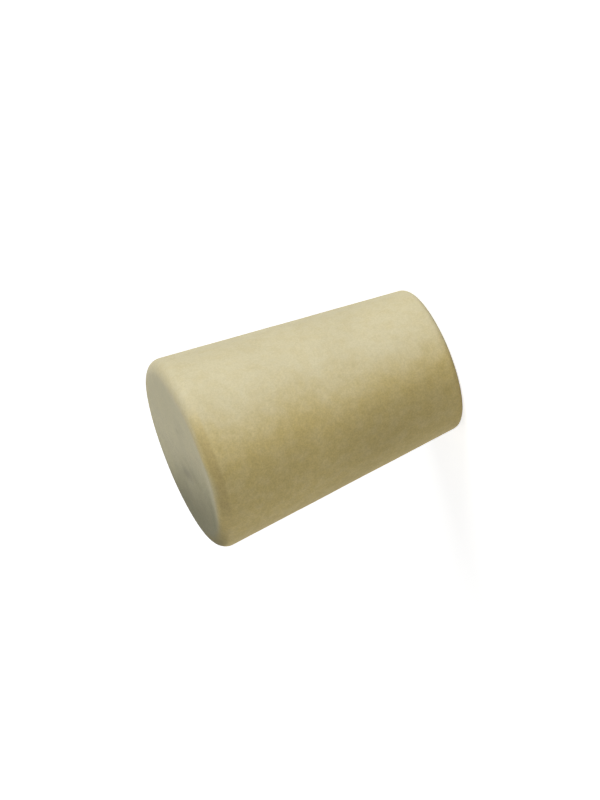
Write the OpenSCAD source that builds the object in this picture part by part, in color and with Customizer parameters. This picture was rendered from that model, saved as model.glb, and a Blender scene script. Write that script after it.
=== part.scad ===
/* [Plug] */
// Diameter of the wide end, taken where the side and the flat end would meet in a sharp corner
wide_d = 19; // [17:0.5:32]
// Diameter of the narrow end, taken in the same way
narrow_d = 14; // [8:0.5:16]
// Length along the axis, from flat end to flat end
plug_l = 26; // [16:1:50]

/* [Edges] */
// Radius of the moulded edge round the wide end
wide_edge_r = 1.25; // [0.4:0.05:3]
// Radius of the moulded edge round the narrow end
narrow_edge_r = 0.75; // [0.3:0.05:2.5]

/* [Hidden] */

rubber_colour = [0.80, 0.74, 0.56];
turn_fn = 180;
arc_fn = 96;

// Angle between the side and the axis
taper = atan((wide_d - narrow_d) / 2 / plug_l);
// Direction square to the side, in the half section
side_dir = [cos(taper), -sin(taper)];
// Centres of the edge arcs: each arc touches its flat end and the side
wide_arc_c = [wide_d / 2 - wide_edge_r / tan(45 - taper / 2), plug_l - wide_edge_r];
narrow_arc_c = [narrow_d / 2 - narrow_edge_r / tan(45 + taper / 2), narrow_edge_r];

// Half section, with its axis on X = 0: straight lines between the points where the arcs touch
module half_section() {
    polygon([
        [0, 0],
        [narrow_arc_c.x, 0],
        narrow_arc_c + narrow_edge_r * side_dir,
        wide_arc_c + wide_edge_r * side_dir,
        [wide_arc_c.x, plug_l],
        [0, plug_l]
    ]);
    translate(narrow_arc_c) circle(narrow_edge_r, $fn = arc_fn);
    translate(wide_arc_c) circle(wide_edge_r, $fn = arc_fn);
}

// Solid tapered plug, moulded in one piece, standing on its narrow end
module stopper() {
    color(rubber_colour) rotate_extrude($fn = turn_fn) half_section();
}

stopper();
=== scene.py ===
import math
import bpy
import bmesh
from mathutils import Matrix, Vector, noise


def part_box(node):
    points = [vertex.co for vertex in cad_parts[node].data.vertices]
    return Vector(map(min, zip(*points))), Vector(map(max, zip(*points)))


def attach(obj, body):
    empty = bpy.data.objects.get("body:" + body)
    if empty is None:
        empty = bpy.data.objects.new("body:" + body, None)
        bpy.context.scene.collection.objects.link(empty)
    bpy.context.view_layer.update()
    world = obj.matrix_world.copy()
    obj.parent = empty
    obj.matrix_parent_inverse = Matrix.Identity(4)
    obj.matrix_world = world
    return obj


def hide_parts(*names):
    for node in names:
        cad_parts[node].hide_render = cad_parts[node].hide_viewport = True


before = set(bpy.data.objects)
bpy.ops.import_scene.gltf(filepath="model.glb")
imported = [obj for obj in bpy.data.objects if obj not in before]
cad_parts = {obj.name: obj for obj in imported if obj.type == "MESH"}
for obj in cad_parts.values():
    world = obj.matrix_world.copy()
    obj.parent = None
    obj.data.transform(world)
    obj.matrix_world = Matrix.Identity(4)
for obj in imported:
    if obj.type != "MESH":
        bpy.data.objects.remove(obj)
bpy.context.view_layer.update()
mm = 0.001
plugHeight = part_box("stopper")[1][2]
plugMiddle = Vector((0, 0, plugHeight / 2))

# the camera looks down on the standing plug and is rolled, so that the plug's axis lies across the picture
cameraSettings = {
    "lens": 133.65,         # mm
    "distance": 279.6 * mm,  # from the lens to the middle of the plug, along the line of sight
    "elevation": 13.3,      # degrees above the horizon
    "roll": -111.63,        # degrees
    "offset": (0.766 * mm, -0.640 * mm),  # middle of the plug, right of and above the line of sight
    "sensor": 36,           # mm
    "clip": (10 * mm, 20),  # m, the nearest and furthest that it sees
}


def placeCamera(values):
    camera = bpy.data.objects.new("camera", bpy.data.cameras.new("camera"))
    bpy.context.scene.collection.objects.link(camera)
    camera.data.lens = values["lens"]
    camera.data.sensor_width = values["sensor"]
    tilt = math.radians(90 - values["elevation"])
    turn = Matrix.Rotation(tilt, 4, "X") @ Matrix.Rotation(math.radians(values["roll"]), 4, "Z")
    right, up, back = (turn.col[i].to_3d() for i in range(3))
    sideways, upwards = values["offset"]
    place = plugMiddle - right * sideways - up * upwards + back * values["distance"]
    camera.matrix_world = Matrix.Translation(place) @ turn
    camera.data.clip_start, camera.data.clip_end = values["clip"]
    bpy.context.scene.camera = camera
    print("camera placed")


placeCamera(cameraSettings)

stopperSettings = {
    "wideD": 19 * mm,         # diameters of the cone before its edges are rounded
    "narrowD": 14 * mm,
    "wideEdgeR": 1.25 * mm,
    "narrowEdgeR": 0.75 * mm,
    "turnSteps": 192,
    "edgeSegments": 12,
    "ringStep": 0.35 * mm,    # between rings on the straight parts
    "swellDepth": 0.020 * mm,  # unevenness of the moulded skin, inward only
    "swellLength": 4.5 * mm,
    "swellGain": 1.6,         # how soon a swell reaches its full height or depth
    "weldGap": 0.001 * mm,
}


def roundCorner(bm, vert, radius, segments):
    # bevels one corner of the half section, so that its arc has the radius asked for
    a, b = ((e.other_vert(vert).co - vert.co).normalized() for e in vert.link_edges)
    offset = radius / math.tan(a.angle(b) / 2)
    bmesh.ops.bevel(bm, geom=[vert], offset=offset, offset_type="OFFSET", affect="VERTICES",
                    segments=segments, profile=0.5, material=-1)


def unevenSkin(bm, depth, length, gain):
    # sinks the skin by a slow noise, so that the plug never grows past its true size
    bm.normal_update()
    for vert, normal in [(v, v.normal.copy()) for v in bm.verts]:
        swell = max(-1.0, min(1.0, gain * noise.noise(vert.co / length)))
        vert.co -= normal * depth * (0.5 + 0.5 * swell)


def makeStopper(values):
    bm = bmesh.new()
    footMiddle = bm.verts.new((0, 0, 0))
    foot = bm.verts.new((values["narrowD"] / 2, 0, 0))
    head = bm.verts.new((values["wideD"] / 2, 0, plugHeight))
    headMiddle = bm.verts.new((0, 0, plugHeight))
    for a, b in ((footMiddle, foot), (foot, head), (head, headMiddle)):
        bm.edges.new((a, b))
    roundCorner(bm, foot, values["narrowEdgeR"], values["edgeSegments"])
    roundCorner(bm, head, values["wideEdgeR"], values["edgeSegments"])
    for edge in bm.edges[:]:
        cuts = round(edge.calc_length() / values["ringStep"]) - 1
        if cuts > 0:
            bmesh.ops.subdivide_edges(bm, edges=[edge], cuts=cuts)
    print(len(bm.verts), "points in the half section")
    bmesh.ops.spin(bm, geom=bm.verts[:] + bm.edges[:], cent=(0, 0, 0), axis=(0, 0, 1),
                   angle=math.tau, steps=values["turnSteps"], use_merge=True)
    bmesh.ops.remove_doubles(bm, verts=bm.verts[:], dist=values["weldGap"])
    bmesh.ops.recalc_face_normals(bm, faces=bm.faces[:])
    unevenSkin(bm, values["swellDepth"], values["swellLength"], values["swellGain"])
    mesh = bpy.data.meshes.new("plugBody")
    bm.to_mesh(mesh)
    bm.free()
    for face in mesh.polygons:
        face.use_smooth = True
    plug = bpy.data.objects.new("plugBody", mesh)
    bpy.context.scene.collection.objects.link(plug)
    print("plug made:", len(mesh.polygons), "faces")
    return plug


plug = makeStopper(stopperSettings)
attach(plug, "root")
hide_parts("stopper")


def addNode(tree, kind, inputs=None, **settings):
    # adds a shader node, and links or sets its inputs by name or number
    node = tree.nodes.new("ShaderNode" + kind)
    for name, value in settings.items():
        setattr(node, name, value)
    for key, value in (inputs or {}).items():
        if isinstance(value, bpy.types.NodeSocket):
            tree.links.new(value, node.inputs[key])
        else:
            node.inputs[key].default_value = value
    return node


def calculate(tree, operation, *values):
    return addNode(tree, "Math", dict(enumerate(values)), operation=operation).outputs[0]


def product(tree, first, *others):
    for other in others:
        first = calculate(tree, "MULTIPLY", first, other)
    return first


def vectors(tree, operation, inputs, output="Vector"):
    return addNode(tree, "VectorMath", inputs, operation=operation).outputs[output]


def fade(tree, value, start, end, low=0.0, high=1.0):
    # a smooth step, from low where the value is at start to high where it is at end
    inputs = {"Value": value, "From Min": start, "From Max": end, "To Min": low, "To Max": high}
    return addNode(tree, "MapRange", inputs, interpolation_type="SMOOTHSTEP").outputs[0]


def grain(tree, place, perMm, detail):
    return addNode(tree, "TexNoise", {"Vector": place, "Scale": perMm, "Detail": detail}).outputs[0]


def mixColour(tree, factor, first, second, blend="MIX"):
    # a Mix node takes its colours at sockets 6 and 7 and gives one at 2
    inputs = {0: factor, 6: first, 7: second}
    return addNode(tree, "Mix", inputs, data_type="RGBA", blend_type=blend).outputs[2]


def along(tree, x, y, azimuth):
    # distance in the direction of an azimuth, which counts from -Y toward +X
    angle = math.radians(azimuth)
    return calculate(tree, "ADD", product(tree, x, math.sin(angle)), product(tree, y, -math.cos(angle)))


endHeight = plugHeight / mm


def onEnd(x, y):
    # a point of the wide end, in mm
    return (x, y, endHeight)


def onSide(azimuth, height):
    # a point of the plug's side, in mm
    wide = stopperSettings["wideD"] / mm
    narrow = stopperSettings["narrowD"] / mm
    outward = (narrow + (wide - narrow) * height / endHeight) / 2
    around = math.radians(azimuth)
    return (outward * math.sin(around), -outward * math.cos(around), height)


def markShade(tree, place, start, end, reach, lightness):
    # lightness near the line from start to end, fading to 1 at the reach
    line = Vector(end) - Vector(start)
    offset = vectors(tree, "SUBTRACT", {0: place, 1: start})
    share = vectors(tree, "DOT_PRODUCT", {0: offset, 1: line / line.length_squared}, "Value")
    share = addNode(tree, "Clamp", {0: share}).outputs[0]
    foot = vectors(tree, "SCALE", {0: line, "Scale": share})
    return fade(tree, vectors(tree, "DISTANCE", {0: offset, 1: foot}, "Value"), 0.0, reach, lightness, 1.0)


# Lengths are in mm here, because the texture space is scaled to mm, and depths are below the wide end. A
# fade has its two ends and, unless it goes from 0 to 1, what it gives at each. Sides are azimuths, which
# count from -Y toward +X, and a spread is a fade over the cosine from its side.
rubberSettings = {
    "noises": {                             # how many to a mm, and their detail
        "cloud": (0.16, 3.0),
        "mottle": (0.9, 3.0),
        "speckle": (2.6, 2.0),
        "fine": (6.5, 2.0),
        "drift": (0.7, 2.0),
    },

    "amber": (0.535, 0.427, 0.171, 1),      # aged rubber, where no highlight is painted
    "highlightColour": (0.558, 0.503, 0.326, 1),      # painted highlight: paler, whiter colour on the side toward the key lamp
    "highlightSide": 62,
    "highlightSpread": (0.20, 0.92, 0.06, 0.94),
    "highlightRagged": (0.3, 0.7, -0.07, 0.07),
    "highlightMottle": (0.25, 0.75, -0.12, 0.12),

    "endReflectionColour": (0.515, 0.470, 0.290, 1),     # painted reflection: greyer, paler colour of the wide end, standing in for its grazing reflection and cool light
    "faceDepths": (0.8, 0.4),
    "endReflectionRadii": (9.05, 7.9),
    "endReflectionRagged": (0.35, 0.65, -0.3, 0.3),
    "highlightOverEdge": 0.55,                   # how much further in the painted reflection starts under the painted highlight

    "endShadeColour": (0.28, 0.29, 0.26, 1),         # painted shade: what is left of the colour below, on the darker side of the wide end
    "endShadeSide": 256,
    "endShadeSpread": (-3.0, 7.0),             # in mm along that side
    "endShadeRagged": (0.3, 0.7, -0.7, 0.7),
    "endShadeMiddle": onEnd(-1.0, 2.2),
    "endShadeRadii": (10.4, 7.6),
    "endShadeWeight": 0.88,

    "edgeBrown": (0.79, 0.78, 0.79, 1),     # what is left of the colour on the edge of the wide end
    "edgeStart": (1.30, 0.90),              # depths where the ring begins and where it ends
    "edgeStop": (0.10, 0.38),
    "edgeMottle": (0.3, 0.55, 0.7, 1.0),
    "edgeSide": -16,
    "edgeSpread": (0.80, 0.97, 0.05, 1.0),
    "highlightGapSide": -14,                        # the painted highlight is held off a longer stretch of the edge
    "highlightGapSpread": (0.74, 0.96, 0.0, 0.75),

    "cloudShade": (0.3, 0.7, 0.975, 1.025),
    "coreShadowSide": -28,                        # painted core shadow: strip where the side is darkest
    "coreShadowSpread": (0.86, 0.99, 1.0, 0.95),
    "markDrift": 0.8,                       # how far the noise bends the single marks
    "swingRange": (0.25, 0.75, -1.0, 1.0),
    "swings": {                             # of lightness, away from and under the painted highlight
        "mottle": (0.040, 0.018),
        "speckle": (0.048, 0.018),
        "fine": (0.095, 0.045),
    },

    "roughness": (0.3, 0.7, 0.61, 0.66),
    "endShadeRoughness": 0.16,
    "specular": 0.23,
    "bumpDepth": 0.010 * mm,                # in metres, unlike the rest

    "marks": (                              # start, end, reach and lightness of each
        (onEnd(-0.6, 4.6), onEnd(-1.6, -1.6), 1.3, 0.86),       # darker line across the wide end
        (onEnd(-1.0, 1.9), onEnd(-1.5, 0.2), 1.0, 0.72),
        (onEnd(2.9, 1.6), onEnd(2.4, -4.8), 0.5, 0.82),         # painted shade of a faint crease
        (onEnd(1.8, -1.8), onEnd(2.8, -3.2), 2.2, 0.92),
        (onEnd(0.5, 7.0), onEnd(-0.5, 6.0), 3.2, 1.17),         # lighter patches, which thin the painted shade on the wide end
        (onEnd(-2.5, -5.0), onEnd(-6.5, -1.5), 3.0, 1.08),
        (onEnd(-6.0, 0.8), onEnd(-6.2, -1.2), 2.6, 1.08),
        (onEnd(-3.2, -7.3), onEnd(-5.4, -5.9), 1.1, 0.91),      # where the end meets its edge
        # darkest stretch of the brown edge, then painted shade that deepens the core shadow, and two
        # patches of painted bounce light on the shaded side
        (onSide(-20, endHeight - 0.8), onSide(-13, endHeight - 0.8), 1.5, 0.89),
        (onSide(-28, 4), onSide(-30, 11), 5.0, 0.93),
        (onSide(-52, 16), onSide(-52, 23), 5.5, 1.12),
        (onSide(-58, 0.5), onSide(-40, 0.5), 2.5, 1.10),
    ),
}


def readSkin(tree, values):
    # the place on the skin, its distances from the axis and below the wide end, and the noises of the rest
    coordinates = addNode(tree, "TexCoord").outputs["Object"]
    place = addNode(tree, "Mapping", {"Vector": coordinates, "Scale": (1 / mm,) * 3}).outputs[0]
    x, y, height = addNode(tree, "SeparateXYZ", {0: place}).outputs
    outward = calculate(tree, "SQRT", calculate(tree, "ADD", product(tree, x, x), product(tree, y, y)))
    depth = calculate(tree, "SUBTRACT", endHeight, height)
    skin = {"place": place, "x": x, "y": y, "depth": depth, "outward": outward}
    for name, (perMm, detail) in values["noises"].items():
        skin[name] = grain(tree, place, perMm, detail)
    return skin


def facing(tree, skin, azimuth):
    # 1 where the skin faces the azimuth, -1 on the far side
    return calculate(tree, "DIVIDE", along(tree, skin["x"], skin["y"], azimuth), skin["outward"])


def edgeBands(tree, skin, values):
    # where the edge of the wide end is kept free of the painted highlight, and where it is brown
    start = fade(tree, skin["depth"], *values["edgeStart"])
    stop = fade(tree, skin["depth"], *values["edgeStop"])
    ring = product(tree, start, stop, fade(tree, skin["mottle"], *values["edgeMottle"]))
    highlightGap = fade(tree, facing(tree, skin, values["highlightGapSide"]), *values["highlightGapSpread"])
    brown = fade(tree, facing(tree, skin, values["edgeSide"]), *values["edgeSpread"])
    return product(tree, ring, highlightGap), product(tree, ring, brown)


def paintedHighlight(tree, skin, values, highlightGap):
    # painted highlight: lies on the side toward the key lamp, and breaks up a little where it ends
    ragged = fade(tree, skin["cloud"], *values["highlightRagged"])
    side = calculate(tree, "ADD", facing(tree, skin, values["highlightSide"]), ragged)
    mottled = fade(tree, skin["mottle"], *values["highlightMottle"])
    highlight = calculate(tree, "ADD", fade(tree, side, *values["highlightSpread"]), mottled)
    return product(tree, highlight, calculate(tree, "SUBTRACT", 1.0, highlightGap))


def endReflection(tree, skin, values, onTop, highlight):
    # painted reflection: covers the wide end, and starts further in where the painted highlight comes over
    # the edge
    inward = calculate(tree, "MULTIPLY_ADD", highlight, values["highlightOverEdge"], skin["outward"])
    inward = calculate(tree, "ADD", inward, fade(tree, skin["cloud"], *values["endReflectionRagged"]))
    return product(tree, onTop, fade(tree, inward, *values["endReflectionRadii"]))


def endShade(tree, skin, values, onTop):
    # painted shade: thickens across the wide end
    ragged = fade(tree, skin["cloud"], *values["endShadeRagged"])
    across = calculate(tree, "ADD", along(tree, skin["x"], skin["y"], values["endShadeSide"]), ragged)
    thick = fade(tree, across, *values["endShadeSpread"])
    away = vectors(tree, "DISTANCE", {0: skin["place"], 1: values["endShadeMiddle"]}, "Value")
    return product(tree, thick, onTop, fade(tree, away, *values["endShadeRadii"]), values["endShadeWeight"])


def skinShade(tree, skin, values, highlight):
    # lightness of patches, single marks, mottling and grain, which are coarser away from the painted
    # highlight; the strip is a painted core shadow, some marks are painted shade and two are painted
    # bounce light
    coreShadow = fade(tree, facing(tree, skin, values["coreShadowSide"]), *values["coreShadowSpread"])
    shade = product(tree, fade(tree, skin["cloud"], *values["cloudShade"]), coreShadow)
    drift = vectors(tree, "SCALE", {0: skin["drift"], "Scale": values["markDrift"]})
    bent = vectors(tree, "ADD", {0: skin["place"], 1: drift})
    for mark in values["marks"]:
        shade = product(tree, shade, markShade(tree, bent, *mark))
    for name, (offHighlight, onHighlight) in values["swings"].items():
        swing = calculate(tree, "MULTIPLY_ADD", highlight, onHighlight - offHighlight, offHighlight)
        swing = product(tree, swing, fade(tree, skin[name], *values["swingRange"]))
        shade = calculate(tree, "MULTIPLY_ADD", shade, swing, shade)
    return shade


def makeRubber(values):
    material = bpy.data.materials.new("rubber")
    material.use_nodes = True
    tree = material.node_tree
    shader = tree.nodes["Principled BSDF"]
    skin = readSkin(tree, values)
    onTop = fade(tree, skin["depth"], *values["faceDepths"])
    highlightGap, brown = edgeBands(tree, skin, values)
    highlight = paintedHighlight(tree, skin, values, highlightGap)
    reflectedOnEnd = endReflection(tree, skin, values, onTop, highlight)
    endShadeMask = endShade(tree, skin, values, onTop)

    # the colour carries a painted highlight on the lit side, a painted reflection on the wide end, a brown
    # edge, and painted shade across the end
    colour = mixColour(tree, highlight, values["amber"], values["highlightColour"])
    colour = mixColour(tree, reflectedOnEnd, colour, values["endReflectionColour"])
    colour = mixColour(tree, brown, colour, values["edgeBrown"], "MULTIPLY")
    colour = mixColour(tree, endShadeMask, colour, values["endShadeColour"], "MULTIPLY")
    colour = vectors(tree, "MULTIPLY", {0: colour, 1: skinShade(tree, skin, values, highlight)})
    tree.links.new(colour, shader.inputs["Base Color"])

    rough = fade(tree, skin["mottle"], *values["roughness"])
    # the wide end is rougher where its shade is painted
    rough = calculate(tree, "MULTIPLY_ADD", endShadeMask, values["endShadeRoughness"], rough)
    tree.links.new(rough, shader.inputs["Roughness"])
    relief = calculate(tree, "ADD", skin["mottle"], calculate(tree, "ADD", skin["fine"], skin["speckle"]))
    bump = addNode(tree, "Bump", {"Height": relief, "Distance": values["bumpDepth"]})
    tree.links.new(bump.outputs[0], shader.inputs["Normal"])
    shader.inputs["Specular IOR Level"].default_value = values["specular"]
    print("rubber made")
    return material


plug.data.materials.append(makeRubber(rubberSettings))

floorSettings = {
    "halfSize": 6.0,                        # m
    "colour": (0.7, 0.7, 0.7, 1),
    "roughness": 0.9,
    "glow": (0.70, 1.0),                    # what it adds to its own light, near and far
    "glowReach": (0.25, 0.9),               # metres from the plug between which that rises
}


def seenStraight(tree):
    # 1 for rays of the camera, of reflections and of clear bodies, 0 for light that falls on things
    rays = addNode(tree, "LightPath").outputs
    direct = calculate(tree, "MAXIMUM", rays["Is Camera Ray"], rays["Is Glossy Ray"])
    return calculate(tree, "MAXIMUM", direct, rays["Is Transmission Ray"])


def makeFloor(values):
    bm = bmesh.new()
    bmesh.ops.create_grid(bm, x_segments=1, y_segments=1, size=values["halfSize"])
    mesh = bpy.data.meshes.new("floor")
    bm.to_mesh(mesh)
    bm.free()
    floor = bpy.data.objects.new("floor", mesh)
    bpy.context.scene.collection.objects.link(floor)
    paper = bpy.data.materials.new("paper")
    paper.use_nodes = True
    tree = paper.node_tree
    shader = tree.nodes["Principled BSDF"]
    shader.inputs["Base Color"].default_value = values["colour"]
    shader.inputs["Roughness"].default_value = values["roughness"]
    place = addNode(tree, "TexCoord").outputs["Object"]
    away = vectors(tree, "LENGTH", {0: place}, "Value")
    strength = fade(tree, away, *values["glowReach"], *values["glow"])
    strength = product(tree, strength, seenStraight(tree))
    glow = addNode(tree, "Emission", {"Strength": strength})
    both = addNode(tree, "AddShader", {0: shader.outputs[0], 1: glow.outputs[0]})
    tree.links.new(both.outputs[0], tree.nodes["Material Output"].inputs["Surface"])
    floor.data.materials.append(paper)
    print("floor made")


makeFloor(floorSettings)

lampSettings = {
    "distance": 1.0,                        # m
    "size": 0.75,                           # m
    "lamps": {                              # azimuth and elevation in degrees, then watts
        "key": (51, 20, 10.2),
        "under": (-100, 20, 3.3),
        "behind": (180, 25, 1.7),
        "front": (0, 30, 1.5),
    },
}


def placeLamp(name, azimuth, elevation, power, values):
    lamp = bpy.data.objects.new(name, bpy.data.lights.new(name, "AREA"))
    bpy.context.scene.collection.objects.link(lamp)
    lamp.data.shape = "SQUARE"
    lamp.data.size = values["size"]
    lamp.data.energy = power
    around, rise = math.radians(azimuth), math.radians(elevation)
    level = math.cos(rise)
    away = Vector((math.sin(around) * level, -math.cos(around) * level, math.sin(rise)))
    lamp.location = plugMiddle + away * values["distance"]
    lamp.rotation_mode = "QUATERNION"
    lamp.rotation_quaternion = away.to_track_quat("Z", "Y")


for name, lampPlace in lampSettings["lamps"].items():
    placeLamp(name, *lampPlace, lampSettings)
print(len(lampSettings["lamps"]), "lamps placed")

worldSettings = {
    "colour": (1, 1, 1, 1),
    "light": 0.05,                          # strength on the plug; the background itself is 1
}


def makeWorld(values):
    world = bpy.data.worlds.new("world")
    bpy.context.scene.world = world
    world.use_nodes = True
    tree = world.node_tree
    sky = tree.nodes["Background"]
    sky.inputs["Color"].default_value = values["colour"]
    strength = fade(tree, seenStraight(tree), 0.0, 1.0, values["light"], 1.0)
    tree.links.new(strength, sky.inputs["Strength"])
    bpy.context.scene.view_settings.view_transform = "Standard"
    print("world made")


makeWorld(worldSettings)
